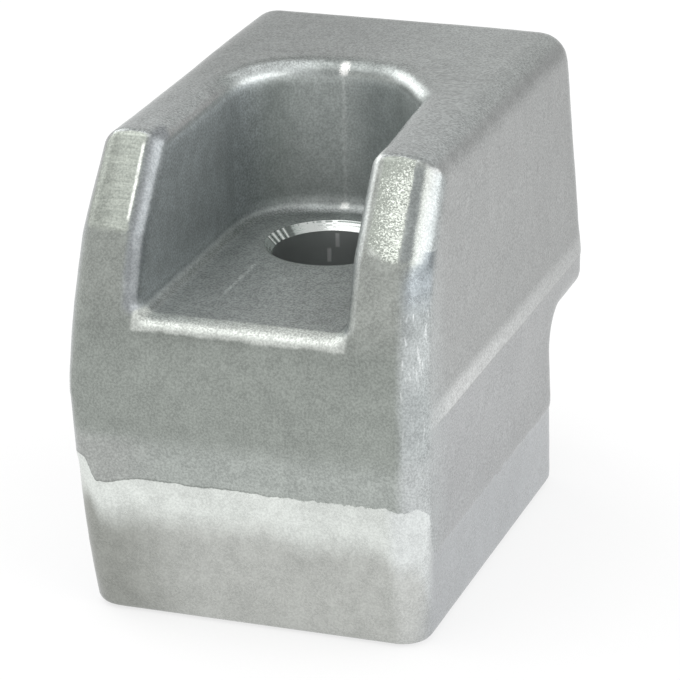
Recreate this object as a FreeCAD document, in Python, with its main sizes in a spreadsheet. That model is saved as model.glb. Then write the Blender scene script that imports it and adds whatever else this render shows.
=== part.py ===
# Sacrificial anode, cast in one piece, with a bolt pocket open at the top and the front.
# Millimetres. +Z up, -Y towards the open front, X across.
# The origin is where the bolt hole's axis meets the flat bottom.
import FreeCAD, Part
import math
import os
import Sketcher

V = FreeCAD.Vector
doc = FreeCAD.newDocument("SacrificialAnode")

# Sizes, each named once
SIZES = {
    "tall": 41.3,              # bottom to top
    "wide": 31.8,              # across the parting line, where the block is widest
    "top_draft": 0.9,          # how far each flank leans in from the parting line to the top
    "bottom_draft": 0.7,       # the same down to the bottom
    "parting_z": 20.0,         # height of the mould's parting line, where the front bulges most
    "belly_reach": 22.9,       # bolt axis to the most forward place of the front
    "belly_low_radius": 85.0,  # curve of the front below the parting line
    "belly_high_radius": 34.0, # curve of the front above the parting line
    "top_reach": 23.5,         # bolt axis to the rear of the top
    "hook_reach": 25.8,        # bolt axis to the rear tip of the overhang
    "hook_drop": 4.0,          # parting line down to the underside of the overhang
    "heel_reach": 15.9,        # bolt axis to the rear face just under the overhang
    "foot_reach": 18.5,        # bolt axis to the rear of the bottom
    "slot_width": 18.4,        # bolt pocket, wall to wall
    "floor_z": 27.6,           # height of the pocket's floor
    "bolt_diameter": 10.0,     # clearance hole for the bolt
    "countersink": 0.8,        # leg of the 45 degree countersink
    "facet_z": 34.2,           # foot of the flat facets on the two prongs
    "facet_bite": 0.9,         # how far their heads lie behind the front's upper curve
    "corner_radius": 2.7,      # upright outer corners and outer edges of the top
    "rim_radius": 1.7,         # rim of the pocket and inner edges of the prongs
    "lip_radius": 1.4,         # front edge of the pocket's floor
    "floor_radius": 1.2,       # pocket floor to pocket wall
    "bottom_radius": 1.2,      # outer edges of the bottom
    "hook_radius": 0.8,        # rear edge of the overhang's underside
    "step_radius": 1.6,        # hollow corner under the overhang
}
sheet = doc.addObject("Spreadsheet::Sheet", "Sizes")
for row, (name, value) in enumerate(SIZES.items(), 1):
    sheet.set("A%d" % row, name)
    sheet.set("B%d" % row, str(value))
    sheet.setAlias("B%d" % row, name)
doc.recompute()
s = {name: float(sheet.get(name)) for name in SIZES}
hookZ = s["parting_z"] - s["hook_drop"]
tol = 0.05  # for finding edges by their place

body = doc.addObject("PartDesign::Body", "AnodeBody")
body.Label = "anode_block"


def newSketch(name, role, height=None):
    """A sketch on one of the body's own planes, raised by a size where one is given."""
    sk = body.newObject("Sketcher::SketchObject", name)
    sk.AttachmentSupport = ([o for o in body.Origin.OriginFeatures if o.Role == role][0], [""])
    sk.MapMode = "FlatFace"
    if height:
        sk.setExpression("AttachmentOffset.Base.z", height)
    return sk


def bind(sk, name, constraint, expression):
    """Adds one constraint and ties its value to the sheet."""
    index = sk.addConstraint(constraint)
    sk.renameConstraint(index, name)
    sk.setExpression("Constraints." + name, expression)


def pin(sk, name, geo, pos, across, up):
    """Ties a point to the origin by two distances; None keeps it on the axis instead."""
    point = sk.getPoint(geo, pos)
    for way, expression, value in (("X", across, point.x), ("Y", up, point.y)):
        if expression is None:
            axis = -2 if way == "X" else -1
            sk.addConstraint(Sketcher.Constraint("PointOnObject", geo, pos, axis))
            continue
        ends = (geo, pos, -1, 1) if value < 0 else (-1, 1, geo, pos)
        bind(sk, name + way, Sketcher.Constraint("Distance" + way, *ends, abs(value)), expression)


def join(sk, *pairs):
    for a, b in pairs:
        sk.addConstraint(Sketcher.Constraint("Coincident", a[0], a[1], b[0], b[1]))


def polygon(sk, points, first=0):
    """Closed run of straight lines, numbered from the given geometry on."""
    count = len(points)
    for k in range(count):
        sk.addGeometry(Part.LineSegment(points[k], points[(k + 1) % count]), False)
    join(sk, *[((first + k, 2), (first + (k + 1) % count, 1)) for k in range(count)])


def arc(centre, radius, start, end):
    """Arc drawn counterclockwise from one point to the other."""
    angles = [math.atan2(p.y - centre.y, p.x - centre.x) for p in (start, end)]
    if angles[1] < angles[0]:
        angles[1] += 2 * math.pi
    return Part.ArcOfCircle(Part.Circle(centre, V(0, 0, 1), radius), *angles)


def frontReach(z, radius):
    """Bolt axis to the front face at a height, on one of the two curves of the front."""
    return s["belly_reach"] - radius + math.sqrt(radius ** 2 - (z - s["parting_z"]) ** 2)


def addCut(name, sketch, length=None, bothWays=False):
    """A pocket from a sketch: through all of the block, or of a given length."""
    cut = body.newObject("PartDesign::Pocket", name)
    cut.Profile = sketch
    cut.Type = "Length" if length else "ThroughAll"
    cut.Midplane = bothWays
    if length:
        cut.setExpression("Length", length)
    doc.recompute()
    if cut.BaseFeature.Shape.Volume - cut.Shape.Volume < 1:
        raise RuntimeError(name + ": nothing was cut")
    return cut


def addDressing(kind, name, base, test, size):
    """A fillet or chamfer on the edges of the base that the test picks."""
    names = ["Edge%d" % n for n, e in enumerate(base.Shape.Edges, 1) if test(e.BoundBox)]
    if not names:
        raise RuntimeError(name + ": no edge found")
    feature = body.newObject("PartDesign::" + kind, name)
    feature.Base = (base, names)
    feature.setExpression("Size" if kind == "Chamfer" else "Radius", size)
    doc.recompute()
    return feature


def farOut(box):
    """Distance of an edge's outermost point from the middle plane."""
    return max(abs(box.XMin), abs(box.XMax))


def level(box, z):
    """True for an edge that lies flat at a height."""
    return box.ZLength < tol and abs(box.ZMax - z) < tol


# Side view: the front in two curves, the flat top, the overhang and the step under it
lowRadius, highRadius = s["belly_low_radius"], s["belly_high_radius"]
side = newSketch("SideView", "YZ_Plane")
belly = V(-s["belly_reach"], s["parting_z"], 0)
toe = V(-frontReach(0, lowRadius), 0, 0)
crease = V(-frontReach(s["facet_z"], highRadius), s["facet_z"], 0)
brow = V(s["facet_bite"] - frontReach(s["tall"], highRadius), s["tall"], 0)
corners = [crease, brow, V(s["top_reach"], s["tall"], 0), V(s["hook_reach"], hookZ, 0),
           V(s["heel_reach"], hookZ, 0), V(s["foot_reach"], 0, 0), toe]
side.addGeometry(arc(belly + V(lowRadius, 0, 0), lowRadius, belly, toe), False)
side.addGeometry(arc(belly + V(highRadius, 0, 0), highRadius, crease, belly), False)
for a, b in zip(corners, corners[1:]):
    side.addGeometry(Part.LineSegment(a, b), False)
join(side, ((0, 1), (1, 2)), ((1, 1), (2, 1)), ((2, 2), (3, 1)), ((3, 2), (4, 1)),
     ((4, 2), (5, 1)), ((5, 2), (6, 1)), ((6, 2), (7, 1)), ((7, 2), (0, 2)))
pin(side, "belly", 0, 1, "Sizes.belly_reach", "Sizes.parting_z")
bind(side, "lowRadius", Sketcher.Constraint("Radius", 0, lowRadius), "Sizes.belly_low_radius")
bind(side, "highRadius", Sketcher.Constraint("Radius", 1, highRadius), "Sizes.belly_high_radius")
side.addConstraint(Sketcher.Constraint("Horizontal", 0, 1, 0, 3))
side.addConstraint(Sketcher.Constraint("Horizontal", 1, 2, 1, 3))
side.addConstraint(Sketcher.Constraint("Horizontal", 3))
side.addConstraint(Sketcher.Constraint("Horizontal", 5))
bind(side, "crease", Sketcher.Constraint("DistanceY", -1, 1, 1, 1, crease.y), "Sizes.facet_z")
bind(side, "brow", Sketcher.Constraint("DistanceX", 2, 2, -1, 1, -brow.x),
     "Sizes.belly_reach - Sizes.belly_high_radius - Sizes.facet_bite + "
     "sqrt(Sizes.belly_high_radius ^ 2 - (Sizes.tall - Sizes.parting_z) ^ 2)")
pin(side, "topRear", 3, 2, "Sizes.top_reach", "Sizes.tall")
pin(side, "hook", 4, 2, "Sizes.hook_reach", "Sizes.parting_z - Sizes.hook_drop")
bind(side, "heel", Sketcher.Constraint("DistanceX", -1, 1, 5, 2, s["heel_reach"]), "Sizes.heel_reach")
pin(side, "foot", 6, 2, "Sizes.foot_reach", None)
side.addConstraint(Sketcher.Constraint("PointOnObject", 0, 2, -1))
doc.recompute()
block = body.newObject("PartDesign::Pad", "Block")
block.Profile = side
block.Midplane = True
block.setExpression("Length", "1.5 * Sizes.wide")
doc.recompute()

# Front view: the mould's draft, cut from both flanks above and below the parting line
draft = newSketch("FlankDraft", "XZ_Plane")
for sign, first, tag in ((1, 0, "right"), (-1, 5, "left")):
    half = s["wide"] / 2
    polygon(draft, [V(sign * (half - s["bottom_draft"]), 0, 0), V(sign * half, s["parting_z"], 0),
                    V(sign * (half - s["top_draft"]), s["tall"], 0), V(sign * s["wide"], s["tall"], 0),
                    V(sign * s["wide"], 0, 0)], first)
    pin(draft, tag + "Bottom", first, 1, "Sizes.wide / 2 - Sizes.bottom_draft", None)
    pin(draft, tag + "Parting", first + 1, 1, "Sizes.wide / 2", "Sizes.parting_z")
    pin(draft, tag + "Top", first + 2, 1, "Sizes.wide / 2 - Sizes.top_draft", "Sizes.tall")
    pin(draft, tag + "FarTop", first + 3, 1, "Sizes.wide", "Sizes.tall")
    pin(draft, tag + "FarBottom", first + 4, 1, "Sizes.wide", None)
doc.recompute()
flanks = addCut("Flanks", draft, "2 * (Sizes.hook_reach + Sizes.belly_reach)", bothWays=True)

# The bolt pocket: a U in plan round the bolt axis, down to the floor and out at the front
slotRadius = s["slot_width"] / 2
slotFront = -2 * s["belly_reach"]
slot = newSketch("PocketPlan", "XY_Plane", "Sizes.tall")
slot.addGeometry(arc(V(0, 0, 0), slotRadius, V(slotRadius, 0, 0), V(-slotRadius, 0, 0)), False)
slot.addGeometry(Part.LineSegment(V(-slotRadius, 0, 0), V(-slotRadius, slotFront, 0)), False)
slot.addGeometry(Part.LineSegment(V(-slotRadius, slotFront, 0), V(slotRadius, slotFront, 0)), False)
slot.addGeometry(Part.LineSegment(V(slotRadius, slotFront, 0), V(slotRadius, 0, 0)), False)
join(slot, ((0, 2), (1, 1)), ((1, 2), (2, 1)), ((2, 2), (3, 1)), ((3, 2), (0, 1)), ((0, 3), (-1, 1)))
slot.addConstraint(Sketcher.Constraint("PointOnObject", 0, 1, -1))
slot.addConstraint(Sketcher.Constraint("PointOnObject", 0, 2, -1))
slot.addConstraint(Sketcher.Constraint("Vertical", 1))
slot.addConstraint(Sketcher.Constraint("Horizontal", 2))
slot.addConstraint(Sketcher.Constraint("Vertical", 3))
bind(slot, "radius", Sketcher.Constraint("Radius", 0, slotRadius), "Sizes.slot_width / 2")
bind(slot, "front", Sketcher.Constraint("DistanceY", 1, 2, -1, 1, -slotFront), "2 * Sizes.belly_reach")
doc.recompute()
pocket = addCut("BoltPocket", slot, "Sizes.tall - Sizes.floor_z")

# The bolt hole, from the pocket's floor out through the bottom
boltPlan = newSketch("BoltPlan", "XY_Plane", "Sizes.floor_z")
boltPlan.addGeometry(Part.Circle(V(0, 0, 0), V(0, 0, 1), s["bolt_diameter"] / 2), False)
join(boltPlan, ((0, 3), (-1, 1)))
bind(boltPlan, "diameter", Sketcher.Constraint("Diameter", 0, s["bolt_diameter"]), "Sizes.bolt_diameter")
doc.recompute()
boltHole = addCut("BoltHole", boltPlan)

countersink = addDressing("Chamfer", "Countersink", boltHole,
                          lambda b: level(b, s["floor_z"]) and abs(b.XLength - s["bolt_diameter"]) < tol
                          and abs(b.YLength - s["bolt_diameter"]) < tol,
                          "Sizes.countersink")

# The hollow corner where the overhang starts
step = addDressing("Fillet", "StepCorner", countersink,
                   lambda b: level(b, hookZ) and b.YLength < tol and b.YMax < s["heel_reach"] + tol,
                   "Sizes.step_radius")

# Outer corners: the upright ones, of which the front ones follow the curve of the front, and the top's
outsidePocket = slotRadius + s["corner_radius"]
outer = addDressing("Fillet", "OuterEdges", step,
                    lambda b: min(abs(b.XMin), abs(b.XMax)) > outsidePocket
                    and (b.ZLength > s["corner_radius"] and (b.YMax < 0 or b.YMin > s["heel_reach"] - tol)
                         or level(b, s["tall"]) and b.YMax > 0)
                    or level(b, s["tall"]) and b.YMin > slotRadius + tol,
                    "Sizes.corner_radius")

# The rim of the pocket and on down the inner edges of the prongs
rim = addDressing("Fillet", "Rim", outer,
                  lambda b: farOut(b) < slotRadius + tol
                  and (level(b, s["tall"]) or b.ZMin > s["floor_z"] - tol and b.ZLength > s["floor_radius"]
                       and b.YMax < brow.x + tol),
                  "Sizes.rim_radius")

# Pocket floor to pocket wall
pocketFloor = addDressing("Fillet", "PocketFloor", rim,
                          lambda b: level(b, s["floor_z"]) and b.YMax > -tol and farOut(b) > slotRadius - tol,
                          "Sizes.floor_radius")

# The lip of the pocket's floor
lip = addDressing("Fillet", "Lip", pocketFloor,
                  lambda b: level(b, s["floor_z"]) and b.YLength < tol and b.YMax < -s["slot_width"] / 2
                  and b.XLength > s["slot_width"] / 2,
                  "Sizes.lip_radius")

bottomEdges = addDressing("Fillet", "BottomEdges", lip,
                          lambda b: level(b, 0) and farOut(b) > s["bolt_diameter"] / 2 + tol,
                          "Sizes.bottom_radius")
hookEdge = addDressing("Fillet", "HookEdge", bottomEdges,
                       lambda b: level(b, hookZ) and b.YMin > s["heel_reach"] + s["corner_radius"],
                       "Sizes.hook_radius")
body.Tip = hookEdge
doc.recompute()

# Nothing is written unless every feature is sound and the block is one solid
for o in doc.Objects:
    if "Invalid" in o.State or "Error" in o.State:
        raise RuntimeError(o.Name + ": " + str(o.State))
    if o.TypeId.startswith("PartDesign::") and (o.Shape.isNull() or not o.Shape.isValid()):
        raise RuntimeError(o.Name + ": not a sound shape")
if len(body.Shape.Solids) != 1:
    raise RuntimeError(body.Label + ": not one solid")

os.makedirs("parts", exist_ok=True)
body.Shape.exportStep("parts/" + body.Label + ".step")
print(body.Label, "volume", round(body.Shape.Volume, 1), "faces", len(body.Shape.Faces))
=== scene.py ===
import bpy
import math
from mathutils import Matrix, Vector, noise
from types import SimpleNamespace


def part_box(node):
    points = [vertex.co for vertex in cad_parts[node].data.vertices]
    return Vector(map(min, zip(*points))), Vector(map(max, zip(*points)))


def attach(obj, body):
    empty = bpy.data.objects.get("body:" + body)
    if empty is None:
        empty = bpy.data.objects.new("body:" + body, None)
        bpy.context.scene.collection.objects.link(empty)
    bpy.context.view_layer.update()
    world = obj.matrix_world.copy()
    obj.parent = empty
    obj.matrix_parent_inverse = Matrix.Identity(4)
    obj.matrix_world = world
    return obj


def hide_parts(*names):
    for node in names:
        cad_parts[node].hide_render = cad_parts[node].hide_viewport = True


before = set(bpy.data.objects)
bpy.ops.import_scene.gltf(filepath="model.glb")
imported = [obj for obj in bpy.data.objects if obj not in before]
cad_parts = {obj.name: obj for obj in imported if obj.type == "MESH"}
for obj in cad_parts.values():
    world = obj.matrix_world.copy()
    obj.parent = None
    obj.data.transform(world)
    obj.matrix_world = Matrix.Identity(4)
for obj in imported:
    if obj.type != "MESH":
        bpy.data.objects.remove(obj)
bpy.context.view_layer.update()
bpy.ops.object.select_all(action="DESELECT")
mm = 0.001  # the scene is in metres, places on the casting are given in millimetres

lowCorner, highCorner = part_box("anode_block")
shape = {
    "tall": (highCorner.z - lowCorner.z) / mm,
    "floor": 27.6,                 # pocket floor above the bottom
    "slotHalf": 9.2,               # pocket wall from the middle
    "holeRadius": 5.0,
    "sinkLeg": 0.8,                # leg of the 45 degree countersink
    "facetFoot": (-19.79, 34.2),   # across the prongs: depth and height of the facets' foot
    "facetHead": (-14.50, 41.3),   # and of their head
    "facetSides": (10.6, 13.0),    # from the middle to a facet's inner and outer border
    "partingZ": 20.0,
    "bellyFront": -22.9,           # depth of the front where it bulges most, at the parting line
    "bellyRound": 68.0,            # it falls back by the height from there, squared, over this
}


def smoothStep(low, high, value):
    t = min(max((value - low) / (high - low), 0.0), 1.0)
    return t * t * (3 - 2 * t)


# casting: the block itself, remeshed from the frame so that its surface can be worked
casting = {
    "grain": 0.35,               # edge of one face
    "softening": 3,              # passes that take the grain's steps out
    "softenShare": 0.5,
    "smoothAngle": 32,           # edges sharper than this stay sharp, in degrees
    "wave": 0.08,                # slow unevenness of the cast skin
    "waveSize": 9.0,
    "ripple": 0.016,             # finer unevenness
    "rippleSize": 1.7,
    "calmPocket": 0.12,          # share of both in the pocket
    "pocketMargin": 0.5,         # which reaches this far into its wall
    "pocketBelow": 1.0,          # and this far under its floor
    "calmFacet": 0.1,            # share of both on the prongs' facets
    "facetBelow": 0.3,           # which begin this far under their foot
    "facetThick": 0.15,          # and lie this close to their plane
    "skinStep": 0.11,            # the upper skin stands this proud of the lower zone
    "skinStepSoft": 0.35,        # half the height over which it does so
    "skinStepFoot": (0.2, 1.2),  # the step dies out between these heights
    "skinFront": 13.4,           # height of the skin's lower edge across the front
    "skinFlank": 8.2,            # and along the flanks
    "skinSides": (11.5, 12.5),   # it comes down beyond these widths from the middle
    "skinTurn": (-22.1, -17.4),  # and between these depths
    "skinNotches": ((-9.0, -12.5, -0.7), (-13.1, -14.3, 2.1)),  # from, to and how much it sags or rises
    "ledge": 0.06,               # the mould's upper half stands this proud at the parting line
    "ledgeFoot": (-0.2, 0.2),    # heights over the parting line
    "ledgeHead": (3.2, 1.2),
    "ledgeFacing": 0.7,          # only where the side faces left or right at least this much
    "flatFoot": (0.1, 1.0),      # the skin is even below the first of these heights
}

# the pocket's wall as it was cast: how far it stands off its drawn place, and where
pocketPull = {
    "right": 0.45,               # its right wall stands further in at the front
    "rightMore": 0.85,           # and this much more at the rear
    "rightAlong": (-14.0, 2.0),
    "rightAcross": (3.0, 8.5),
    "rear": 1.1,                 # its rear wall stands further forward
    "rearAlong": (0.0, 8.0),
    "rearAcross": (-9.0, -2.0),
    "corner": 0.4,               # the rim is broader at the rear right
    "cornerShare": 0.7,          # of which this share goes left and as much forward
    "cornerAcross": (-1.0, 5.0),
    "cornerAlong": (0.5, 5.0),
    "cornerUp": (1.0, 6.0),      # heights over the floor
    "cornerOutside": (1.7, 0.3),
    "inside": (-3.0, -0.3),      # distances behind the drawn wall
    "outside": (4.6, 1.9),
    "up": (-2.0, -0.5),          # heights over the floor
}


# height of the upper skin's lower edge: high across the front, low along the flanks
def skinEdge(x, y):
    turn = smoothStep(*casting["skinSides"], abs(x)) * smoothStep(*casting["skinTurn"], y)
    notch = sum(rise * smoothStep(start, end, x) for start, end, rise in casting["skinNotches"])
    return casting["skinFront"] + (casting["skinFlank"] - casting["skinFront"]) * turn + notch


# millimetres in front of the facets' plane, where the facets lean back on the prongs
def facetDepth(y, z):
    (footY, footZ), (headY, headZ) = shape["facetFoot"], shape["facetHead"]
    run = math.hypot(headY - footY, headZ - footZ)
    return ((footY - y) * (headZ - footZ) + (z - footZ) * (headY - footY)) / run


# how far the cast wall of the pocket stands off its drawn place
def wallPull(p):
    pull = pocketPull
    behindWall = math.hypot(p.x, max(p.y, 0.0)) - shape["slotHalf"]
    overFloor = p.z - shape["floor"]
    inside = smoothStep(*pull["inside"], behindWall)
    near = inside * smoothStep(*pull["outside"], behindWall) * smoothStep(*pull["up"], overFloor)
    toLeft = pull["right"] + pull["rightMore"] * smoothStep(*pull["rightAlong"], p.y)
    toLeft *= near * smoothStep(*pull["rightAcross"], p.x)
    toFront = near * pull["rear"] * smoothStep(*pull["rearAlong"], p.y) * smoothStep(*pull["rearAcross"], p.x)
    corner = pull["corner"] * inside * smoothStep(*pull["cornerOutside"], behindWall)
    corner *= smoothStep(*pull["cornerAcross"], p.x) * smoothStep(*pull["cornerAlong"], p.y)
    corner *= pull["cornerShare"] * smoothStep(*pull["cornerUp"], overFloor)
    return Vector((-toLeft - corner, -toFront - corner, 0))


def makeActive(piece):
    bpy.ops.object.select_all(action="DESELECT")
    piece.select_set(True)
    bpy.context.view_layer.objects.active = piece


def copyBlock():
    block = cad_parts["anode_block"].copy()
    block.data = block.data.copy()
    for key in list(block.keys()):
        del block[key]
    block.name = block.data.name = "anodeCasting"
    block.parent = None
    bpy.context.scene.collection.objects.link(block)
    block.data.materials.clear()
    return block


# the bolt hole is filled for the remesh and bored again afterwards
def fillHole(block):
    margin, belowFloor = 0.5, 0.4
    radius = shape["holeRadius"] + shape["sinkLeg"] + margin
    bpy.ops.mesh.primitive_cylinder_add(vertices=64, radius=radius * mm,
                                        depth=(shape["floor"] - belowFloor) * mm,
                                        location=(0, 0, shape["floor"] / 2 * mm))
    plug = bpy.context.active_object
    makeActive(block)
    plug.select_set(True)
    bpy.ops.object.join()
    bpy.ops.object.mode_set(mode="EDIT")
    bpy.ops.mesh.select_all(action="SELECT")
    bpy.ops.mesh.remove_doubles(threshold=0.001 * mm)
    bpy.ops.object.mode_set(mode="OBJECT")


def remeshBlock(block):
    remesh = block.modifiers.new("cast grain", "REMESH")
    remesh.mode = "VOXEL"
    remesh.voxel_size = casting["grain"] * mm
    bpy.ops.object.modifier_apply(modifier=remesh.name)
    soften = block.modifiers.new("softening", "SMOOTH")
    soften.factor = casting["softenShare"]
    soften.iterations = casting["softening"]
    bpy.ops.object.modifier_apply(modifier=soften.name)


def isInPocket(p):
    wall = shape["slotHalf"] + casting["pocketMargin"]
    return abs(p.x) < wall and p.y < wall and p.z > shape["floor"] - casting["pocketBelow"]


def isOnFacet(p):
    high = p.z > shape["facetFoot"][1] - casting["facetBelow"]
    return high and abs(facetDepth(p.y, p.z)) < casting["facetThick"]


# slow waves, a fine ripple, the step at the upper skin's edge and the ledge at the parting line
def castSkin(block):
    normals = [v.normal.copy() for v in block.data.vertices]
    for vertex, normal in zip(block.data.vertices, normals):
        p = vertex.co / mm
        inPocket = isInPocket(p)
        calm = casting["calmPocket"] if inPocket else casting["calmFacet"] if isOnFacet(p) else 1.0
        off = calm * casting["wave"] * noise.noise(p / casting["waveSize"])
        off += calm * casting["ripple"] * noise.noise(p / casting["rippleSize"])
        if not inPocket:
            soft = casting["skinStepSoft"]
            below = smoothStep(soft, -soft, p.z - skinEdge(p.x, p.y))
            off -= casting["skinStep"] * below * smoothStep(*casting["skinStepFoot"], p.z)
        if abs(normal.x) > casting["ledgeFacing"]:
            above = p.z - shape["partingZ"]
            ledge = smoothStep(*casting["ledgeFoot"], above) * smoothStep(*casting["ledgeHead"], above)
            off += casting["ledge"] * ledge
        off *= smoothStep(*casting["flatFoot"], p.z)
        vertex.co = vertex.co + normal * (off * mm) + wallPull(p) * mm
    block.data.update()


# bore and countersink, turned after casting
def boreHole(block):
    reach, tip, sides = 2.0, 1.0, 128  # the tools pass the surface by reach, the cone its own leg by tip
    leg, floor, radius = shape["sinkLeg"], shape["floor"], shape["holeRadius"]
    bpy.ops.mesh.primitive_cylinder_add(vertices=sides, radius=radius * mm,
                                        depth=(floor + 2 * reach) * mm,
                                        location=(0, 0, floor / 2 * mm))
    bore = bpy.context.active_object
    bore.data.materials.append(boreMetal)
    bpy.ops.mesh.primitive_cone_add(vertices=sides, radius1=(radius - tip) * mm,
                                    radius2=(radius + leg + reach) * mm,
                                    depth=(leg + reach + tip) * mm,
                                    location=(0, 0, (floor + (reach - leg - tip) / 2) * mm))
    sink = bpy.context.active_object
    sink.data.materials.append(turnedMetal)
    for finish in (castMetal, boreMetal, turnedMetal):
        block.data.materials.append(finish)
    for cutter in (bore, sink):
        bpy.context.view_layer.objects.active = block
        cut = block.modifiers.new("cut", "BOOLEAN")
        cut.operation = "DIFFERENCE"
        cut.solver = "EXACT"
        cut.material_mode = "TRANSFER"
        cut.object = cutter
        bpy.ops.object.modifier_apply(modifier=cut.name)
        bpy.data.objects.remove(cutter)


# the finish is laid out on the drawn places, so each vertex keeps its own, found in a few rounds
def keepDrawnPlaces(block):
    rounds = 4
    drawn = block.data.attributes.new("drawnPlace", "FLOAT_VECTOR", "POINT")
    for vertex, note in zip(block.data.vertices, drawn.data):
        cast = vertex.co / mm
        p = cast
        for count in range(rounds):
            p = cast - wallPull(p)
        note.vector = p * mm


def buildCasting():
    block = copyBlock()
    fillHole(block)
    remeshBlock(block)
    castSkin(block)
    boreHole(block)
    makeActive(block)
    bpy.ops.object.shade_smooth_by_angle(angle=math.radians(casting["smoothAngle"]))
    keepDrawnPlaces(block)
    print("casting:", len(block.data.polygons), "faces")
    return block


# materials: a short set of helpers, then a dictionary and a function for each area or finish
def newMaterial(name):
    material = bpy.data.materials.new(name)
    material.use_nodes = True
    tree = material.node_tree
    tree.nodes.clear()
    output = tree.nodes.new("ShaderNodeOutputMaterial")
    metal = tree.nodes.new("ShaderNodeBsdfPrincipled")
    metal.inputs["Metallic"].default_value = 1.0
    tree.links.new(metal.outputs[0], output.inputs["Surface"])
    return material, tree, metal


def feed(tree, socket, value):
    if isinstance(value, bpy.types.NodeSocket):
        tree.links.new(value, socket)
    else:
        socket.default_value = value


def calc(tree, how, *values):
    node = tree.nodes.new("ShaderNodeMath")
    node.operation = how
    for socket, value in zip(node.inputs, values):
        feed(tree, socket, value)
    return node.outputs[0]


def plus(tree, first, second):
    return calc(tree, "ADD", first, second)


def minus(tree, first, second):
    return calc(tree, "SUBTRACT", first, second)


def times(tree, *values):
    result = values[0]
    for value in values[1:]:
        result = calc(tree, "MULTIPLY", result, value)
    return result


# a pattern around 0.5 as a width to either side
def sway(tree, pattern, width):
    return times(tree, minus(tree, pattern, 0.5), width)


# smooth change from low to high as the value goes from start to end
def fade(tree, value, start, end, low=0.0, high=1.0):
    node = tree.nodes.new("ShaderNodeMapRange")
    node.interpolation_type = "SMOOTHSTEP"
    sockets = ("Value", "From Min", "From Max", "To Min", "To Max")
    for socket, given in zip(sockets, (value, start, end, low, high)):
        feed(tree, node.inputs[socket], given)
    return node.outputs["Result"]


# where all of several fades hold, each given by its value and its limits
def where(tree, *fades):
    return times(tree, *[fade(tree, *given) for given in fades])


def tint(tree, amount, under, over, how="MIX"):
    node = tree.nodes.new("ShaderNodeMix")
    node.data_type = "RGBA"
    node.blend_type = how
    feed(tree, node.inputs["Factor"], amount)
    feed(tree, node.inputs["A"], under)
    feed(tree, node.inputs["B"], over)
    return node.outputs["Result"]


# noise around 0.5 whose lumps are about the given size in millimetres
def speckle(tree, place, size, detail=2.0, roughness=0.5, seed=0.0, stretch=None):
    node = tree.nodes.new("ShaderNodeTexNoise")
    node.noise_dimensions = "3D"
    node.inputs["Scale"].default_value = 1 / size
    node.inputs["Detail"].default_value = detail
    node.inputs["Roughness"].default_value = roughness
    mapping = tree.nodes.new("ShaderNodeMapping")
    mapping.inputs["Location"].default_value = (seed, seed * 0.7, seed * 1.3)
    if stretch:
        mapping.inputs["Scale"].default_value = stretch
    tree.links.new(place, mapping.inputs["Vector"])
    tree.links.new(mapping.outputs[0], node.inputs["Vector"])
    return node.outputs["Fac"]


# a spot of the surface: its place in millimetres, and the three parts of its place and of its normal
def newSpot(tree, attribute=None):
    coordinates = tree.nodes.new("ShaderNodeTexCoord")
    source = coordinates.outputs["Object"]
    if attribute:
        stored = tree.nodes.new("ShaderNodeAttribute")
        stored.attribute_name = attribute
        source = stored.outputs["Vector"]
    scale = tree.nodes.new("ShaderNodeVectorMath")
    scale.operation = "SCALE"
    scale.inputs["Scale"].default_value = 1 / mm
    tree.links.new(source, scale.inputs[0])
    split = tree.nodes.new("ShaderNodeSeparateXYZ")
    tree.links.new(scale.outputs[0], split.inputs[0])
    facing = tree.nodes.new("ShaderNodeSeparateXYZ")
    tree.links.new(coordinates.outputs["Normal"], facing.inputs[0])
    x, y, z = split.outputs
    nx, ny, nz = facing.outputs
    return SimpleNamespace(tree=tree, place=scale.outputs[0], x=x, y=y, z=z, nx=nx, ny=ny, nz=nz)


# linear colour from a picture's three levels, 0 to 255
def tone(red, green, blue):
    shares = [level / 255 for level in (red, green, blue)]
    return tuple(v / 12.92 if v <= 0.04045 else ((v + 0.055) / 1.055) ** 2.4 for v in shares) + (1.0,)


# a plain number as a colour, where a tint mixes numbers
def plain(value):
    return (value, value, value, 1.0)


def addBump(tree, metal, height, depth, strength):
    bump = tree.nodes.new("ShaderNodeBump")
    bump.inputs["Distance"].default_value = depth * mm
    bump.inputs["Strength"].default_value = strength
    feed(tree, bump.inputs["Height"], height)
    tree.links.new(bump.outputs[0], metal.inputs["Normal"])


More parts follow.
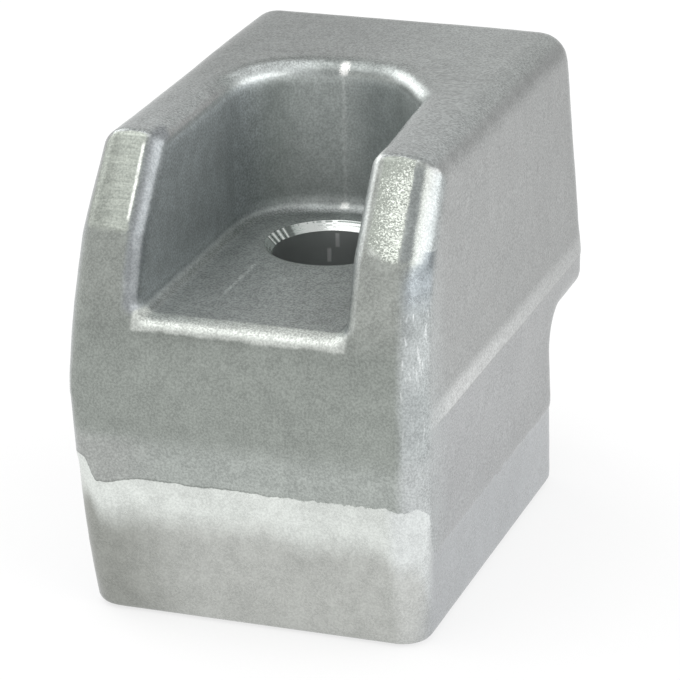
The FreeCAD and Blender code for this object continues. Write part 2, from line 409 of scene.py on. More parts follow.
# In the looks below a pair of numbers is where something begins and where it is full, and two more are its
# strength there. Millimetres are taken across from the middle to the right, along towards the rear and up
# from the bottom, unless a note says otherwise. A facing is one part of the surface's normal.
cornerLook = {
    "middle": tone(176, 181, 181),        # the round corner between the front and the right flank
    "facing": ((0.08, 0.5), (0.0, -0.3), (0.5, 0.3)),  # to the right, to the front and not upwards
    "light": tone(190, 195, 195),         # painted highlight half way up
    "lightFoot": (23.0, 25.0),
    "lightHead": (30.0, 27.0),
    # painted reflection of the floor, low on the corner
    "low": tone(192, 196, 196),
    "lowHead": (19.0, 16.5),
    "crease": tone(130, 136, 139),        # painted shade: a dark line just under where the facets' foot meets the corner
    "creaseHeight": (15.8, 13.4, 34.3, 35.1),  # its two ends across, then their heights
    "creaseHead": (0.08, -0.08),          # heights over the crease
    "creaseFoot": (-2.4, -0.6),
    "under": tone(168, 175, 179),         # painted shade below the crease
    "underHead": (0.1, -0.1),             # over the crease
    "underFoot": (29.0, 32.5),
    "high": tone(164, 169, 169),          # above it, painted darker to dim the lamp's highlight
    "highFoot": (-0.1, 0.1),
    "glint": tone(236, 240, 240),        # painted highlights: short upright glints
    "glintStrength": 0.7,
    "glintSize": 0.35,
    "glintStretch": (1.0, 1.0, 0.12),
    "glintShare": (0.56, 0.68),
    "glintFoot": (17.0, 24.0),
    "glintHead": (31.5, 29.5),
    "stripShade": tone(149, 154, 153),         # painted shade between the right facet and the corner's highlight
    "stripAside": ((0.08, 0.2), (0.55, 0.38)),  # facing, more than the first and less than the last
    "stripForward": (-0.35, -0.5),        # facing
    "stripFoot": (33.8, 34.4),
    "stripHead": (41.2, 40.2),
}


# the round corner at the front right, with painted highlights and painted shade along its height
def cornerTones(spot, colour):
    tree, x, z, look = spot.tree, spot.x, spot.z, cornerLook
    light = where(tree, (z, *look["lightFoot"]), (z, *look["lightHead"]))
    corner = tint(tree, light, look["middle"], look["light"])
    corner = tint(tree, fade(tree, z, *look["lowHead"]), corner, look["low"])
    overCrease = minus(tree, z, fade(tree, x, *look["creaseHeight"]))
    under = where(tree, (overCrease, *look["underHead"]), (z, *look["underFoot"]))
    corner = tint(tree, under, corner, look["under"])
    corner = tint(tree, fade(tree, overCrease, *look["highFoot"]), corner, look["high"])
    crease = where(tree, (overCrease, *look["creaseHead"]), (overCrease, *look["creaseFoot"]))
    corner = tint(tree, crease, corner, look["crease"])
    upright = speckle(tree, spot.place, look["glintSize"], 2.0, 0.6, seed=47.0,
                      stretch=look["glintStretch"])
    glints = where(tree, (upright, *look["glintShare"]), (z, *look["glintFoot"]), (z, *look["glintHead"]))
    corner = tint(tree, times(tree, glints, look["glintStrength"]), corner, look["glint"])
    aside, forward, upwards = look["facing"]
    isCorner = where(tree, (spot.nx, *aside), (spot.ny, *forward), (spot.nz, *upwards))
    colour = tint(tree, isCorner, colour, corner)
    more, less = look["stripAside"]
    stripShade = where(tree, (spot.nx, *more), (spot.nx, *less), (spot.ny, *look["stripForward"]),
                  (z, *look["stripFoot"]), (z, *look["stripHead"]))
    return tint(tree, stripShade, colour, look["stripShade"])


# the cast skin's grey with painted light and shade: the top, the flanks and the front each get their own
# tone, changing towards the rear and across
skinAndShadeLook = {
    "frontHigh": tone(149, 154, 149),     # the cast skin above the ragged edge, dark partly in its own grey and partly as painted shade
    "frontLow": tone(168, 173, 169),
    "frontFoot": (18.5, 15.5),
    "frontUpper": tone(170, 174, 169),    # up towards the prongs
    "frontHead": (25.5, 30.0),
    "frontHeadAcross": (-8.0, 11.0, 0.5, 1.0),
    "patch": tone(166, 169, 166),         # a lighter patch low on the left
    "patchAcross": (-6.0, -12.0),
    "patchHead": (17.8, 16.2),
    "topRearLeft": tone(140, 144, 142),
    "topRearRight": tone(157, 161, 159),
    "topAcross": (-8.0, 10.0),
    "topFront": tone(165, 169, 168),
    "topAlong": (-12.0, 9.0),
    "flankHigh": tone(155, 157, 156),
    "flankHighRear": tone(142, 144, 143),
    "flankLow": tone(162, 164, 165),
    "flankLowRear": tone(149, 151, 151),
    "flankAlong": (-18.0, 22.0),
    "flankParting": (-0.3, 0.0),          # heights over the parting line
    "cornerAlong": (-14.0, -20.5, 0.0, 0.6),
    "partingGlint": tone(196, 198, 197),          # painted highlight just above the parting line
    "bandFoot": (-0.1, 0.15),             # heights over the parting line
    "bandHead": (2.8, 1.4),
    "bandSway": 0.8,
    "bandAlong": (22.0, -20.0, 0.3, 1.0),
}


def skinAndShadeTones(spot):
    tree, x, y, z, look = spot.tree, spot.x, spot.y, spot.z, skinAndShadeLook
    top = tint(tree, fade(tree, x, *look["topAcross"]), look["topRearLeft"], look["topRearRight"])
    top = tint(tree, fade(tree, y, *look["topAlong"]), look["topFront"], top)

    rearwards = fade(tree, y, *look["flankAlong"])
    low = tint(tree, rearwards, look["flankLow"], look["flankLowRear"])
    high = tint(tree, rearwards, look["flankHigh"], look["flankHighRear"])
    overParting = minus(tree, z, shape["partingZ"])
    flank = tint(tree, fade(tree, overParting, *look["flankParting"]), low, high)
    frayed = plus(tree, overParting, times(tree, spot.mottle, look["bandSway"]))
    partingGlint = where(tree, (overParting, *look["bandFoot"]), (frayed, *look["bandHead"]), (y, *look["bandAlong"]))
    flank = tint(tree, partingGlint, flank, look["partingGlint"])
    flank = tint(tree, fade(tree, y, *look["cornerAlong"]), flank, cornerLook["middle"])

    front = tint(tree, fade(tree, z, *look["frontFoot"]), look["frontHigh"], look["frontLow"])
    upper = where(tree, (z, *look["frontHead"]), (x, *look["frontHeadAcross"]))
    front = tint(tree, upper, front, look["frontUpper"])
    patch = where(tree, (x, *look["patchAcross"]), (z, *look["patchHead"]))
    front = tint(tree, patch, front, look["patch"])
    return tint(tree, spot.isFront, tint(tree, spot.isTop, flank, top), front)


lowLook = {
    "bright": tone(217, 221, 217),        # just under the skin's edge on the front
    "brightCorner": tone(222, 226, 225),
    "brightDepth": (2.2, 5.4),            # below the skin's edge it dies away
    "brightSway": 3.0,
    "brightMore": (11.5, 13.6, 0.0, 1.6),  # it reaches further down at the right
    "left": tone(152, 154, 149),          # from there down to the bottom
    "right": tone(184, 186, 182),
    "across": (-13.0, -4.0),
    # painted reflection of the floor on the low corner
    "corner": tone(199, 201, 198),
    "cornerAcross": (12.2, 13.6),
    "flank": tone(171, 174, 176),
    "flankAlong": (-20.8, -18.0),
    "teethSize": 0.7,                     # the ragged edge
    "teethStretch": (0.7, 0.7, 0.3),
    "teethHeight": (-4.0, 8.0, 0.5, 1.3),
    "edgeSoft": (-0.04, 0.05),
    "shadow": tone(120, 124, 120),        # a thin shade just above the edge, at the left
    "shadowStrength": 0.5,
    "shadowHead": (-0.22, -0.06),         # depths below the skin's edge
    "shadowFoot": (0.04, -0.04),
    "shadowAcross": (6.0, -2.0),
}


# the zone below the skin's ragged edge
def lowTones(spot, colour):
    tree, x, y, look = spot.tree, spot.x, spot.y, lowLook
    ragged = speckle(tree, spot.place, look["teethSize"], 3.0, 0.65, seed=21.0, stretch=look["teethStretch"])
    turn = where(tree, (spot.aside, *casting["skinSides"]), (y, *casting["skinTurn"]))
    edge = fade(tree, turn, 0.0, 1.0, casting["skinFront"], casting["skinFlank"])
    edge = plus(tree, edge, sway(tree, ragged, fade(tree, x, *look["teethHeight"])))
    for start, end, rise in casting["skinNotches"]:
        edge = plus(tree, edge, fade(tree, x, start, end, 0.0, rise))
    below = minus(tree, edge, spot.z)
    isLow = fade(tree, below, *look["edgeSoft"])

    low = tint(tree, fade(tree, x, *look["across"]), look["left"], look["right"])
    atCorner = fade(tree, x, *look["cornerAcross"])
    low = tint(tree, atCorner, low, look["corner"])
    bright = tint(tree, atCorner, look["bright"], look["brightCorner"])
    softly = plus(tree, below, sway(tree, spot.cloud, look["brightSway"]))
    softly = minus(tree, softly, fade(tree, x, *look["brightMore"]))
    low = tint(tree, fade(tree, softly, *look["brightDepth"]), bright, low)
    low = tint(tree, fade(tree, y, *look["flankAlong"]), low, look["flank"])
    colour = tint(tree, isLow, colour, low)
    shadow = where(tree, (below, *look["shadowHead"]), (below, *look["shadowFoot"]),
                   (x, *look["shadowAcross"]))
    colour = tint(tree, times(tree, shadow, look["shadowStrength"]), colour, look["shadow"])
    return colour, isLow


pocketLook = {
    # the walls' tones by facing, and the floor darker towards the right and the rear, are painted light and
    # shade
    "wallLeft": tone(192, 197, 199),
    "wallRear": tone(178, 183, 181),
    "wallRight": tone(195, 200, 198),
    "rearFacing": (-0.2, -0.8),
    "rightFacing": (-0.2, -0.6),
    "floor": tone(164, 168, 166),
    "floorRight": tone(151, 155, 153),
    "floorAcross": (0.0, 7.0),
    "floorRear": tone(155, 159, 158),
    "floorAlong": (0.0, 7.0),
    "floorFacing": (0.4, 0.9),
    "wall": (0.35, 0.0),                  # distances behind the drawn wall
    "foot": (-0.15, -0.02),               # heights over the floor
    "head": (0.8, 1.5),                   # depths below the top
    "front": (0.4, 1.2),                  # distances behind the front
    "scratch": tone(220, 224, 221),       # along the floor
    "scratchStrength": 0.4,
    "scratchAcross": -4.27,
    "scratchWidth": (0.28, 0.05),
    "scratchSway": 0.25,
    "scratchAlong": ((-16.0, -13.0), (-6.0, -7.5)),
    "fillet": tone(105, 109, 108),        # a shade in the fillet between floor and wall
    "filletStrength": 0.35,
    "filletFacing": ((0.1, 0.35), (0.99, 0.9)),
    "filletHead": (1.8, 1.3),             # heights over the floor
    "filletHighlight": tone(200, 205, 203),    # and a thin painted highlight line in it
    "filletHighlightFacing": ((0.45, 0.6), (0.8, 0.65)),
    # the rim: painted highlights at the left and the right, painted darker at the rear to dim the lamp's
    # highlight
    "rimRear": tone(153, 158, 156),
    "rimLeftHighlight": tone(190, 195, 194),
    "rimRightHighlight": tone(200, 205, 203),
    "rimWall": ((-0.1, 0.3), (1.7, 1.4)),  # distances behind the drawn wall
    "rimAbove": (-1.0, 0.0),              # heights over the floor
    "rimFrom": (-2.0, 2.0),
    "rimFacing": (0.98, 0.9),
    "rimRightAcross": (1.5, 6.5),
    "rimLeftAcross": (-2.5, -6.5),
    "rimSideAlong": (1.0, 4.0),
    "edgeLeftShade": tone(146, 150, 152),      # round inner edges of the two prongs: the left one darkened by painted shade, the right one lightened by painted light
    "edgeLeftFacing": (0.15, 0.5),
    "edgeRightPaintedLight": tone(205, 209, 206),
    "edgeRightFacing": (-0.3, -0.5),
    "edgeRightWall": ((-0.3, 0.0), (1.7, 0.9)),
    "edgeRightUp": (3.4, 7.4, 0.4, 1.0),  # heights over the floor
    "edgeFront": (3.0, 2.0),              # distances behind the front
}


# how far a spot lies behind the pocket's drawn wall and behind the block's front
def addPocketDistances(spot):
    tree, x, y, z = spot.tree, spot.x, spot.y, spot.z
    behind = calc(tree, "MAXIMUM", y, 0.0)
    across = plus(tree, times(tree, x, x), times(tree, behind, behind))
    spot.fromWall = minus(tree, calc(tree, "SQRT", across), shape["slotHalf"])
    (footY, footZ), (headY, headZ) = shape["facetFoot"], shape["facetHead"]
    rise = minus(tree, z, shape["partingZ"])
    belly = calc(tree, "DIVIDE", times(tree, rise, rise), shape["bellyRound"])
    belly = plus(tree, belly, shape["bellyFront"])
    slant = times(tree, minus(tree, z, footZ), (headY - footY) / (headZ - footZ))
    slant = plus(tree, slant, footY)
    spot.fromFront = minus(tree, y, calc(tree, "MAXIMUM", belly, slant))


# the pocket's rim, with its painted highlights
def rimTones(spot, colour):
    tree, x, y, look = spot.tree, spot.x, spot.y, pocketLook
    inner, outer = look["rimWall"]
    edging = where(tree, (spot.fromWall, *inner), (spot.fromWall, *outer),
                   (spot.overFloor, *look["rimAbove"]))
    isRim = times(tree, edging, where(tree, (y, *look["rimFrom"]), (spot.nz, *look["rimFacing"])))
    atRight = where(tree, (x, *look["rimRightAcross"]), (y, *look["rimSideAlong"]))
    atLeft = where(tree, (x, *look["rimLeftAcross"]), (y, *look["rimSideAlong"]))
    rim = tint(tree, atRight, look["rimRear"], look["rimRightHighlight"])
    rim = tint(tree, atLeft, rim, look["rimLeftHighlight"])
    return tint(tree, isRim, colour, rim), edging, isRim


# the pocket's walls and floor, with painted shade by facing and in the floor's fillet, a painted highlight
# line and a real scratch
def pocketTones(spot, colour):
    tree, x, y, look = spot.tree, spot.x, spot.y, pocketLook
    wall = tint(tree, fade(tree, spot.ny, *look["rearFacing"]), look["wallLeft"], look["wallRear"])
    wall = tint(tree, fade(tree, spot.nx, *look["rightFacing"]), wall, look["wallRight"])
    floor = tint(tree, fade(tree, x, *look["floorAcross"]), look["floor"], look["floorRight"])
    floor = tint(tree, fade(tree, y, *look["floorAlong"]), floor, look["floorRear"])
    drift = plus(tree, x, sway(tree, spot.mottle, look["scratchSway"]))
    offScratch = calc(tree, "ABSOLUTE", minus(tree, drift, look["scratchAcross"]))
    start, end = look["scratchAlong"]
    scratch = where(tree, (offScratch, *look["scratchWidth"]), (y, *start), (y, *end))
    floor = tint(tree, times(tree, scratch, look["scratchStrength"]), floor, look["scratch"])
    pocket = tint(tree, fade(tree, spot.nz, *look["floorFacing"]), wall, floor)

    start, end = look["filletFacing"]
    fillet = where(tree, (spot.nz, *start), (spot.nz, *end), (spot.overFloor, *look["filletHead"]))
    pocket = tint(tree, times(tree, fillet, look["filletStrength"]), pocket, look["fillet"])
    start, end = look["filletHighlightFacing"]
    highlightLine = times(tree, fillet, where(tree, (spot.nz, *start), (spot.nz, *end)))
    pocket = tint(tree, times(tree, highlightLine, look["filletStrength"]), pocket, look["filletHighlight"])

    inPocket = where(tree, (spot.fromWall, *look["wall"]), (spot.overFloor, *look["foot"]),
                     (spot.underTop, *look["head"]), (spot.fromFront, *look["front"]))
    return tint(tree, inPocket, colour, pocket), inPocket


# the prongs' inner edges, with painted shade on the left and painted light on the right
def innerEdgeTones(spot, colour, edging):
    tree, look = spot.tree, pocketLook
    onLeft = minus(tree, 1.0, spot.onRight)
    left = times(tree, edging, onLeft, where(tree, (spot.fromFront, *look["edgeFront"]),
                                             (spot.nx, *look["edgeLeftFacing"])))
    inner, outer = look["edgeRightWall"]
    right = where(tree, (spot.fromWall, *inner), (spot.fromWall, *outer),
                  (spot.overFloor, *look["rimAbove"]), (spot.fromFront, *look["edgeFront"]),
                  (spot.nx, *look["edgeRightFacing"]))
    right = times(tree, right, spot.onRight)
    colour = tint(tree, left, colour, look["edgeLeftShade"])
    growing = fade(tree, spot.overFloor, *look["edgeRightUp"])
    colour = tint(tree, times(tree, right, growing), colour, look["edgeRightPaintedLight"])
    return colour, calc(tree, "MAXIMUM", left, right)


# painted highlights on the rear wall: a faint upright line of reflected light, with a bright star glint at
# its head and at its foot
wallGlintLook = {
    "across": -1.38,
    "glintLine": tone(235, 238, 236),
    "glintLineStrength": 0.2,
    "glintLineWidth": (0.3, 0.02),
    "glintLineWall": (1.2, 0.7),               # distances behind the drawn wall
    "glintLineFoot": (0.2, 0.6),               # heights over the floor
    "along": (7.0, 8.0),
    "starGlint": tone(252, 253, 250),
    "starGlintWidth": (0.5, 0.2),
    "starGlintSway": 1.4,
    "starGlintWall": (1.4, 1.0),
    "starGlintFoot": (0.2, 0.4),               # heights over the floor
    "lowStarGlint": (0.9, 0.6),
    "lowStarGlintStrength": 0.75,
    "highStarGlint": ((1.4, 1.0), (0.1, 0.4)),  # depths below the top
}


def wallGlints(spot, colour):
    tree, look = spot.tree, wallGlintLook
    fromGlintLine = calc(tree, "ABSOLUTE", minus(tree, spot.x, look["across"]))
    glintLine = where(tree, (fromGlintLine, *look["glintLineWidth"]), (spot.y, *look["along"]),
                 (spot.fromWall, *look["glintLineWall"]), (spot.overFloor, *look["glintLineFoot"]))
    frayed = plus(tree, fromGlintLine, sway(tree, spot.fine, look["starGlintSway"]))
    foot, head = look["highStarGlint"]
    low = times(tree, fade(tree, spot.overFloor, *look["lowStarGlint"]), look["lowStarGlintStrength"])
    high = where(tree, (spot.underTop, *foot), (spot.underTop, *head))
    starGlints = where(tree, (frayed, *look["starGlintWidth"]), (spot.y, *look["along"]),
                  (spot.fromWall, *look["starGlintWall"]), (spot.overFloor, *look["starGlintFoot"]))
    starGlints = times(tree, starGlints, calc(tree, "MAXIMUM", low, high))
    colour = tint(tree, times(tree, glintLine, look["glintLineStrength"]), colour, look["glintLine"])
    return tint(tree, starGlints, colour, look["starGlint"])


lipHighlightLook = {
    # painted highlight
    "tone": tone(200, 204, 199),
    "wall": (0.6, 0.2),                   # distances from the pocket's wall, outwards
    "along": (-20.0, -20.5),
    "foot": (-1.1, -0.75),                # heights over the floor
    "footSway": 0.5,
    "head": (0.6, 0.3),
}


# the lip of the pocket's floor, painted whitish as a highlight from the light above
def lipHighlight(spot, colour):
    tree, look = spot.tree, lipHighlightLook
    outwards = minus(tree, spot.aside, shape["slotHalf"])
    frayed = plus(tree, spot.overFloor, sway(tree, spot.mottle, look["footSway"]))
    lip = where(tree, (outwards, *look["wall"]), (spot.y, *look["along"]), (frayed, *look["foot"]),
                (spot.overFloor, *look["head"]))
    return tint(tree, lip, colour, look["tone"]), lip


# the facets on the two prongs: rubbed, with a glitter that is strongest at the right one's outer border
facetLook = {
    "dark": tone(154, 159, 152),
    "light": tone(222, 227, 219),
    "left": tone(158, 163, 156),
    "leftLight": tone(174, 179, 171),
    "facing": (-0.5, -0.6),
    "innerSoft": (-0.15, 0.15),           # across from the inner border
    "outerSoft": (0.08, -0.08),           # across from the outer border
    "leftWider": 1.9,                     # the left facet runs out this much further
    "foot": (-0.3, 0.1),                  # heights over the facets' foot
    "footRise": (10.8, 12.6, 0.0, 0.9),   # the foot drops towards the right facet's outer border
    "footSides": (-1.0, 1.0, -0.15, -0.75),  # and lies higher on the right than on the left
    "head": (0.0, 0.1),                   # depths below the top
    "borderSize": 0.6,
    "borderSway": 0.5,
    "footSway": 1.6,                      # times as much at the foot
    "lineSway": 0.3,
    "dustSize": 0.13,
    "dustSoft": (-0.05, 0.07),
    "dustShare": (-0.4, 0.2, 0.62, 0.43),  # from the inner border to the outer one
    "dustHead": (39.2, 41.0, 0.0, 0.12),  # and less of it at the head
    "patchSize": 0.9,
    "patchSway": 1.5,
    "rubSize": 0.3,
    "rubStretch": (0.12, 1.6, 1.6),
    "rubShare": (0.35, 0.7),
    "line": tone(245, 248, 242),          # a bright line along the left facet's inner border
    "lineWidth": ((-0.05, 0.1), (0.35, 0.15)),
    "lineBreaks": (0.3, 0.5, 0.5, 1.0),
    "lineAcross": (0.0, -1.0),
    "lineFoot": (0.6, 1.2),               # heights over the facets' foot
    "lineHead": (0.6, 1.2),               # depths below the top
}


def facetTones(spot, colour):
    tree, x, look = spot.tree, spot.x, facetLook
    inner, outer = shape["facetSides"]
    overFoot = minus(tree, spot.z, shape["facetFoot"][1])
    wander = speckle(tree, spot.place, look["borderSize"], 3.0, 0.7, seed=17.0)
    wander = sway(tree, wander, look["borderSway"])
    across = plus(tree, spot.aside, wander)
    upward = plus(tree, overFoot, times(tree, wander, look["footSway"]))
    upward = plus(tree, upward, fade(tree, x, *look["footRise"]))
    upward = plus(tree, upward, fade(tree, x, *look["footSides"]))
    border = times(tree, minus(tree, 1.0, spot.onRight), look["leftWider"])
    fromOuter = minus(tree, across, plus(tree, border, outer))
    fromInner = minus(tree, across, inner)
    facet = where(tree, (fromInner, *look["innerSoft"]), (fromOuter, *look["outerSoft"]),
                  (upward, *look["foot"]), (spot.underTop, *look["head"]), (spot.ny, *look["facing"]))

    dust = speckle(tree, spot.place, look["dustSize"], 2.0, 0.6, seed=31.0)
    patchy = speckle(tree, spot.place, look["patchSize"], 2.0, 0.5, seed=37.0)
    start, end, few, many = look["dustShare"]
    share = plus(tree, across, sway(tree, patchy, look["patchSway"]))
    share = fade(tree, share, inner + start, outer + end, few, many)
    share = plus(tree, share, fade(tree, spot.z, *look["dustHead"]))
    glitter = fade(tree, minus(tree, dust, share), *look["dustSoft"])
    right = tint(tree, glitter, look["dark"], look["light"])
    rubs = speckle(tree, spot.place, look["rubSize"], 2.0, 0.6, seed=41.0, stretch=look["rubStretch"])
    left = tint(tree, fade(tree, rubs, *look["rubShare"]), look["left"], look["leftLight"])
    colour = tint(tree, facet, colour, tint(tree, spot.onRight, left, right))

    straight = plus(tree, spot.aside, times(tree, wander, look["lineSway"]))
    straight = minus(tree, straight, inner)
    start, end = look["lineWidth"]
    line = where(tree, (straight, *start), (straight, *end), (patchy, *look["lineBreaks"]),
                 (x, *look["lineAcross"]), (overFoot, *look["lineFoot"]),
                 (spot.underTop, *look["lineHead"]), (spot.ny, *look["facing"]))
    colour = tint(tree, line, colour, look["line"])
    return colour, facet, times(tree, facet, glitter, spot.onRight)


# what is the same all over the casting: which way counts as front, top and flank, the grain, gloss and relief
castLook = {
    "frontFacing": (-0.45, -0.8),
    "topFacing": (0.55, 0.85),
    "flankFacing": (0.8, 0.95),
    "rightAcross": (-1.0, 1.0),
    "fineSize": 0.18,
    "mottleSize": 1.5,
    "cloudSize": 6.0,
    "patternRange": (0.3, 0.7),           # the noises lie mostly between these
    "fineSwing": 0.17,                    # how much lighter and darker the fine grain goes
    "fineSwingTop": 0.13,                 # and how much more on the top and the flanks
    "fineSwingFlank": 0.07,
    "fineSwingLow": 0.6,                  # times as much in the low zone
    "mottleSwing": (0.93, 1.07),
    "cloudSwing": (0.97, 1.03),
    "roughness": (0.24, 0.32),
    "pocketRoughness": 0.5,
    "edgeRoughness": 0.42,
    "lipRoughness": 0.45,
    "rimRoughness": 0.4,
    "facetRougher": 0.1,
    "bumpDepth": 0.04,
    "bumpStrength": 0.3,
    "fineHeight": 0.5,
    "mottleHeight": 0.7,
    "pocketHeight": 0.15,                 # times as much in the pocket
    "glitterHeight": 0.8,
    "lowHeight": -1.5,
}


def castGrain(spot, colour, isLow):
    tree, look = spot.tree, castLook
    more = plus(tree, times(tree, spot.isTop, look["fineSwingTop"]),
                times(tree, spot.isFlank, look["fineSwingFlank"]))
    calmer = fade(tree, isLow, 0.0, 1.0, 1.0, look["fineSwingLow"])
    swing = times(tree, plus(tree, look["fineSwing"], more), calmer)
    limits = look["patternRange"]
    grain = fade(tree, spot.fine, *limits, minus(tree, 1.0, swing), plus(tree, 1.0, swing))
    grain = times(tree, grain, fade(tree, spot.mottle, *limits, *look["mottleSwing"]))
    grain = times(tree, grain, fade(tree, spot.cloud, *limits, *look["cloudSwing"]))
    return tint(tree, 1.0, colour, grain, "MULTIPLY")


def castFinish():
    material, tree, metal = newMaterial("castMetal")
    look = castLook
    spot = newSpot(tree, "drawnPlace")
    spot.fine = speckle(tree, spot.place, look["fineSize"], 2.0, 0.6)
    spot.mottle = speckle(tree, spot.place, look["mottleSize"], 3.0, 0.6, seed=5.0)
    spot.cloud = speckle(tree, spot.place, look["cloudSize"], 2.0, 0.5, seed=11.0)
    spot.aside = calc(tree, "ABSOLUTE", spot.x)
    spot.overFloor = minus(tree, spot.z, shape["floor"])
    spot.underTop = minus(tree, shape["tall"], spot.z)
    spot.onRight = fade(tree, spot.x, *look["rightAcross"])
    spot.isFront = fade(tree, spot.ny, *look["frontFacing"])
    spot.isTop = fade(tree, spot.nz, *look["topFacing"])
    spot.isFlank = fade(tree, calc(tree, "ABSOLUTE", spot.nx), *look["flankFacing"])
    addPocketDistances(spot)

    colour = skinAndShadeTones(spot)
    colour = cornerTones(spot, colour)
    colour, isLow = lowTones(spot, colour)
    colour, edging, isRim = rimTones(spot, colour)
    colour, inPocket = pocketTones(spot, colour)
    colour, isInnerEdge = innerEdgeTones(spot, colour, edging)
    colour = wallGlints(spot, colour)
    colour, isLip = lipHighlight(spot, colour)
    colour, isFacet, glitter = facetTones(spot, colour)
    feed(tree, metal.inputs["Base Color"], castGrain(spot, colour, isLow))

    roughness = fade(tree, spot.mottle, *look["patternRange"], *look["roughness"])
    roughness = tint(tree, inPocket, roughness, plain(look["pocketRoughness"]))
    roughness = tint(tree, isInnerEdge, roughness, plain(look["edgeRoughness"]))
    roughness = tint(tree, isLip, roughness, plain(look["lipRoughness"]))
    roughness = tint(tree, isRim, roughness, plain(look["rimRoughness"]))
    roughness = plus(tree, roughness, times(tree, isFacet, look["facetRougher"]))
    feed(tree, metal.inputs["Roughness"], roughness)

    height = plus(tree, times(tree, spot.fine, look["fineHeight"]),
                  times(tree, spot.mottle, look["mottleHeight"]))
    height = times(tree, height, fade(tree, inPocket, 0.0, 1.0, 1.0, look["pocketHeight"]))
    height = plus(tree, height, times(tree, glitter, look["glitterHeight"]))
    height = plus(tree, height, times(tree, isLow, look["lowHeight"]))
    addBump(tree, metal, height, look["bumpDepth"], look["bumpStrength"])
    return material


# the countersink: turned rings, chatter marks at the left and a band of painted shade behind them
turnedLook = {
    "tone": tone(208, 212, 209),
    "ringsPerMm": 4,
    "ringHeight": 0.4,
    "chatterPerRadian": 7,
    "chatterHeight": 2.5,
    "chatter": ((-0.06, -0.02), (0.44, 0.4)),   # angles from the left towards the rear, in radians
    # painted shade, between these angles
    "shadeBand": ((0.42, 0.46), (0.6, 0.54)),
    "shadeBandTone": tone(100, 104, 102),
    "shadeBandStrength": 0.7,
    "roughness": 0.2,
    "bumpDepth": 0.03,
    "bumpStrength": 0.6,
}


# angle about the hole, from the left towards the rear
def holeAngle(spot):
    return calc(spot.tree, "ARCTAN2", spot.y, times(spot.tree, spot.x, -1.0))


def turnedFinish():
    material, tree, metal = newMaterial("turnedMetal")
    look = turnedLook
    spot = newSpot(tree)
    out = calc(tree, "SQRT", plus(tree, times(tree, spot.x, spot.x), times(tree, spot.y, spot.y)))
    rings = calc(tree, "SINE", times(tree, out, 2 * math.pi * look["ringsPerMm"]))
    angle = holeAngle(spot)
    start, end = look["chatter"]
    waves = calc(tree, "SINE", times(tree, angle, 2 * math.pi * look["chatterPerRadian"]))
    chatter = times(tree, waves, where(tree, (angle, *start), (angle, *end)))
    start, end = look["shadeBand"]
    shadeBand = times(tree, where(tree, (angle, *start), (angle, *end)), look["shadeBandStrength"])
    feed(tree, metal.inputs["Base Color"], tint(tree, shadeBand, look["tone"], look["shadeBandTone"]))
    metal.inputs["Roughness"].default_value = look["roughness"]
    height = plus(tree, times(tree, rings, look["ringHeight"]), times(tree, chatter, look["chatterHeight"]))
    addBump(tree, metal, height, look["bumpDepth"], look["bumpStrength"])
    return material


boreLook = {
    "tone": tone(196, 199, 198),
    # painted highlights: thin upright glints on the bore's wall
    "glint": tone(255, 255, 255),
    "glints": ((1.35, 25.3, 26.4), (1.20, 23.9, 25.0)),  # angle from the left, foot and head of each
    "glintWidth": (0.05, 0.02),          # to either side, in radians
    "glintFoot": (-0.1, 0.1),            # heights over its foot
    "glintHead": (0.3, 0.0),             # and over its head
    "ringSize": 0.5,
    "ringStretch": (0.2, 0.2, 4.0),
    "roughness": 0.45,
    "bumpDepth": 0.03,
    "bumpStrength": 0.6,
}


def boreFinish():
    material, tree, metal = newMaterial("boreMetal")
    look = boreLook
    spot = newSpot(tree)
    angle = holeAngle(spot)
    colour = look["tone"]
    for middle, foot, head in look["glints"]:
        aside = calc(tree, "ABSOLUTE", minus(tree, angle, middle))
        glint = where(tree, (aside, *look["glintWidth"]),
                       (minus(tree, spot.z, foot), *look["glintFoot"]),
                       (minus(tree, spot.z, head), *look["glintHead"]))
        colour = tint(tree, glint, colour, look["glint"])
    feed(tree, metal.inputs["Base Color"], colour)
    metal.inputs["Roughness"].default_value = look["roughness"]
    rings = speckle(tree, spot.place, look["ringSize"], 2.0, 0.5, stretch=look["ringStretch"])
    addBump(tree, metal, rings, look["bumpDepth"], look["bumpStrength"])
    return material


castMetal = castFinish()
turnedMetal = turnedFinish()
boreMetal = boreFinish()
print("finishes made")

anodeCasting = buildCasting()
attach(anodeCasting, "root")
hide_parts("anode_block")

# studio: white floor and world, soft boxes that show in the metal
studio = {
    "floorSize": 6.0,
    "floorTone": tone(250, 250, 250),
    "floorRoughness": 0.9,
    "floorWhite": 0.7,                    # share of plain white that the camera and the metal see in it
    "worldLight": 0.85,
    "lampDistance": 1.0,
    "lampAim": (0, 0, 0.02),
}

# azimuth 0 is the front and 90 the right, angles in degrees, size in metres
softBoxes = {
    "rightBox": {"azimuth": 88, "elevation": 25, "size": (1.5, 0.48), "watts": 4.4, "slant": -15},
    "leftBox": {"azimuth": -113, "elevation": 32, "size": (0.65, 0.65), "watts": 2.3, "slant": 0},
    "overheadBox": {"azimuth": -45, "elevation": 68, "size": (0.8, 0.8), "watts": 2.2, "slant": 0},
}


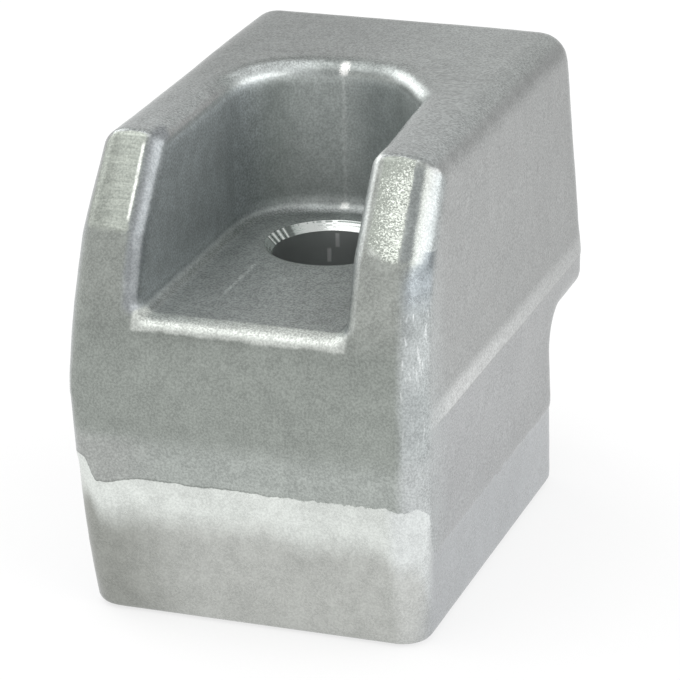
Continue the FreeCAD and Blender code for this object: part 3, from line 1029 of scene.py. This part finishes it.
def buildFloor():
    bpy.ops.mesh.primitive_plane_add(size=studio["floorSize"], location=(0, 0, 0))
    floor = bpy.context.active_object
    floor.name = "studioFloor"
    material = bpy.data.materials.new("floorPaper")
    material.use_nodes = True
    tree = material.node_tree
    paper = tree.nodes["Principled BSDF"]
    paper.inputs["Base Color"].default_value = studio["floorTone"]
    paper.inputs["Roughness"].default_value = studio["floorRoughness"]
    paper.inputs["Specular IOR Level"].default_value = 0.0
    white = tree.nodes.new("ShaderNodeEmission")
    ray = tree.nodes.new("ShaderNodeLightPath")
    mix = tree.nodes.new("ShaderNodeMixShader")
    seen = calc(tree, "MAXIMUM", ray.outputs["Is Camera Ray"], ray.outputs["Is Glossy Ray"])
    seen = calc(tree, "MAXIMUM", seen, ray.outputs["Is Transmission Ray"])
    feed(tree, mix.inputs[0], times(tree, seen, studio["floorWhite"]))
    tree.links.new(paper.outputs[0], mix.inputs[1])
    tree.links.new(white.outputs[0], mix.inputs[2])
    tree.links.new(mix.outputs[0], tree.nodes["Material Output"].inputs["Surface"])
    floor.data.materials.append(material)


# lights the block a little less than the white that the camera sees
def buildWorld():
    world = bpy.data.worlds.new("studioWorld")
    bpy.context.scene.world = world
    world.use_nodes = True
    tree = world.node_tree
    light = tree.nodes["Background"]
    light.inputs["Strength"].default_value = studio["worldLight"]
    light.inputs["Color"].default_value = plain(1.0)
    backdrop = tree.nodes.new("ShaderNodeBackground")
    backdrop.inputs["Color"].default_value = plain(1.0)
    ray = tree.nodes.new("ShaderNodeLightPath")
    mix = tree.nodes.new("ShaderNodeMixShader")
    tree.links.new(ray.outputs["Is Camera Ray"], mix.inputs[0])
    tree.links.new(light.outputs[0], mix.inputs[1])
    tree.links.new(backdrop.outputs[0], mix.inputs[2])
    tree.links.new(mix.outputs[0], tree.nodes["World Output"].inputs["Surface"])


# the way from the block to a lamp or the camera
def towards(azimuth, elevation):
    a, e = math.radians(azimuth), math.radians(elevation)
    return Vector((math.sin(a) * math.cos(e), -math.cos(a) * math.cos(e), math.sin(e)))


# a lamp or camera looks back along the way to it, rolled about that way
def aim(item, way, roll):
    item.rotation_mode = "QUATERNION"
    item.rotation_quaternion = way.to_track_quat("Z", "Y")
    item.rotation_quaternion.rotate(Matrix.Rotation(math.radians(roll), 4, way))


def buildSoftBox(name, box):
    way = towards(box["azimuth"], box["elevation"])
    place = Vector(studio["lampAim"]) + way * studio["lampDistance"]
    bpy.ops.object.light_add(type="AREA", location=place)
    lamp = bpy.context.active_object
    lamp.name = name
    lamp.data.shape = "RECTANGLE"
    lamp.data.size, lamp.data.size_y = box["size"]
    lamp.data.energy = box["watts"]
    aim(lamp, way, box["slant"])


camera = {
    "azimuth": 19.896,
    "elevation": 21.575,
    "roll": -1.085,
    "distance": 0.32452,
    "aim": Vector((2.366, -4.537, 20.421)) * mm,
    "lens": 199.6,
    "sensor": 36,
    "nearest": 0.01,
}


def buildCamera():
    way = towards(camera["azimuth"], camera["elevation"])
    bpy.ops.object.camera_add(location=camera["aim"] + way * camera["distance"])
    eye = bpy.context.active_object
    aim(eye, way, camera["roll"])
    eye.data.sensor_width = camera["sensor"]
    eye.data.lens = camera["lens"]
    eye.data.clip_start = camera["nearest"]
    bpy.context.scene.camera = eye


buildFloor()
buildWorld()
for boxName, box in softBoxes.items():
    buildSoftBox(boxName, box)
buildCamera()
bpy.context.scene.view_settings.view_transform = "Standard"
print("studio and camera made")
